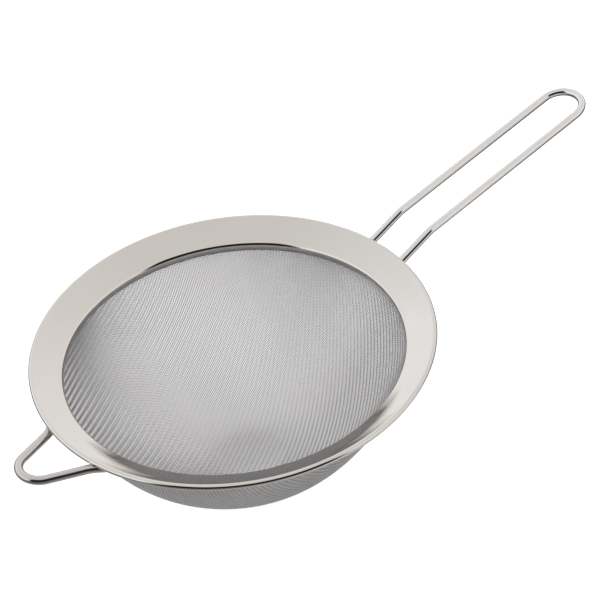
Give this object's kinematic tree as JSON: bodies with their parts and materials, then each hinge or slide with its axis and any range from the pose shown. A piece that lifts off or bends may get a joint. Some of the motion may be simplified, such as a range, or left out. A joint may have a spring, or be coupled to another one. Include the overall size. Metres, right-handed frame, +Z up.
{
  "type": "tea strainer",
  "caption": "Fine-mesh tea strainer: dished steel rim around a deep woven wire bowl, with a long U-shaped wire handle and a V-shaped wire rest hook.",
  "frame": {"origin": "middle of the flat foot under the mesh bowl, on the bowl's axis", "axes": "+Z up along the bowl's axis, +X from the bowl towards the end of the handle, +Y across"},
  "size_m": [0.1831, 0.1, 0.0499],
  "materials": {
    "polished_sheet": "polished",
    "plain_sheet": "mill",
    "wire_cloth": "woven wire",
    "bright_wire": "bright drawn",
    "satin_wire": "satin"
  },
  "bodies": {
    "root": {"rim": "polished_sheet", "mesh_band": "plain_sheet", "mesh_bowl": "wire_cloth", "handle_wire": "bright_wire", "rest_hook": "satin_wire"}
  },
  "joints": []
}
